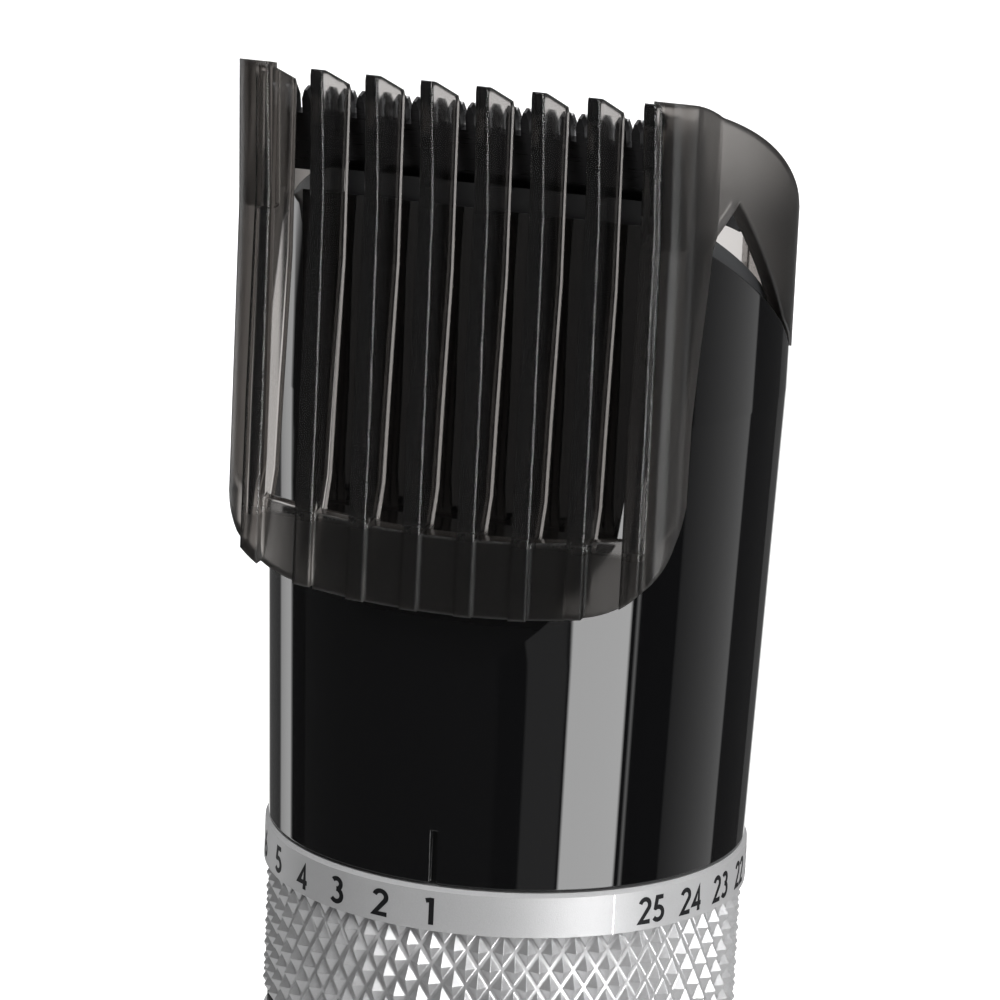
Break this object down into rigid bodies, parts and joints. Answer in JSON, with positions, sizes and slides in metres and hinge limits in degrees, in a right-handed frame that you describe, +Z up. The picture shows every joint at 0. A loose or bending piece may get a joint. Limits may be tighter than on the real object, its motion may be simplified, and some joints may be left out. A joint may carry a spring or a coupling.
{
  "type": "hair clipper",
  "caption": "Cordless hair clipper: cylindrical metal handle, gloss neck, numbered zoom ring that raises a translucent toothed length comb over reciprocating blades.",
  "frame": {"origin": "centre of the base's rest face, on the handle's axis", "axes": "+Z up the handle to the comb, -Y the front with the index mark and comb teeth, +X to the right seen from the front"},
  "size_m": [0.049, 0.0513, 0.1848],
  "materials": {
    "satin_metal": "satin silver band, brushed round the ring",
    "knurled_metal": "bright knurl with cut facets",
    "gloss_black": "polished black",
    "matte_black": "fine matte",
    "smoke_clear": "smoke-grey translucent plastic, finely frosted on its panels",
    "dark_steel": "black coated steel",
    "blade_steel": "ground steel",
    "bright_steel": "plated steel",
    "white_nylon": "natural nylon",
    "grey_plastic": "moulded grey",
    "seal_rubber": "soft matte",
    "cell_wrap": "shrink-wrapped cell",
    "contact_brass": "bare brass",
    "board_green": "coated board",
    "light_clear": "clear light pipe"
  },
  "bodies": {
    "clipper": {"base_cap": "matte_black", "charging_jack": "bright_steel", "base_screws": "bright_steel", "handle_sleeve": "satin_metal", "chassis": "grey_plastic", "seal_ring": "seal_rubber", "detent_spring": "blade_steel", "battery": "cell_wrap", "battery_tray": "grey_plastic", "contact_minus": "contact_brass", "contact_plus": "contact_brass", "circuit_board": "board_green", "board_switch": "bright_steel", "switch_bezel": "gloss_black", "charge_light": "light_clear", "neck_shell": "gloss_black", "neck_nut": "grey_plastic", "motor_can": "blade_steel", "motor_cap": "grey_plastic", "motor_plate": "blade_steel", "plate_screws": "bright_steel", "head_frame": "matte_black", "frame_screws": "bright_steel", "drive_cover": "matte_black", "blade_holder": "matte_black", "fixed_blade": "dark_steel", "blade_screws": "bright_steel", "tension_spring": "blade_steel"},
    "zoom_ring": {"number_ring": "satin_metal", "knurl_grip": "knurled_metal", "cam_drum": "white_nylon", "drum_key": "blade_steel"},
    "carriage": {"carriage": "grey_plastic"},
    "comb": {"guide_comb": "smoke_clear"},
    "cutter": {"cutter_blade": "blade_steel", "cutter_yoke": "white_nylon"},
    "rotor": {"motor_shaft": "blade_steel", "eccentric": "white_nylon"},
    "switch": {"power_switch": "satin_metal"}
  },
  "joints": [
    {"name": "zoom_turn", "type": "hinge", "parent": "clipper", "child": "zoom_ring", "pos_m": [0, 0, 0.1], "axis": [0, 0, 1], "range_deg": [0, 306.3]},
    {"name": "zoom_lift", "type": "slide", "parent": "clipper", "child": "carriage", "axis": [0, 0, 1], "range_m": [0, 0.024]},
    {"name": "comb_release", "type": "slide", "parent": "carriage", "child": "comb", "axis": [0, 0, 1], "range_m": [0, 0.06]},
    {"name": "cutter_stroke", "type": "slide", "parent": "clipper", "child": "cutter", "axis": [1, 0, 0], "range_m": [-0.00125, 0.00125]},
    {"name": "motor_spin", "type": "hinge", "parent": "clipper", "child": "rotor", "pos_m": [0, 0, 0.14], "axis": [0, 0, 1], "continuous": true},
    {"name": "power_slide", "type": "slide", "parent": "clipper", "child": "switch", "axis": [0, 0, 1], "range_m": [0, 0.004]}
  ],
  "couplings": [
    {"joint": "zoom_turn", "follows": "zoom_lift", "rad_per_m": 222.74}
  ]
}
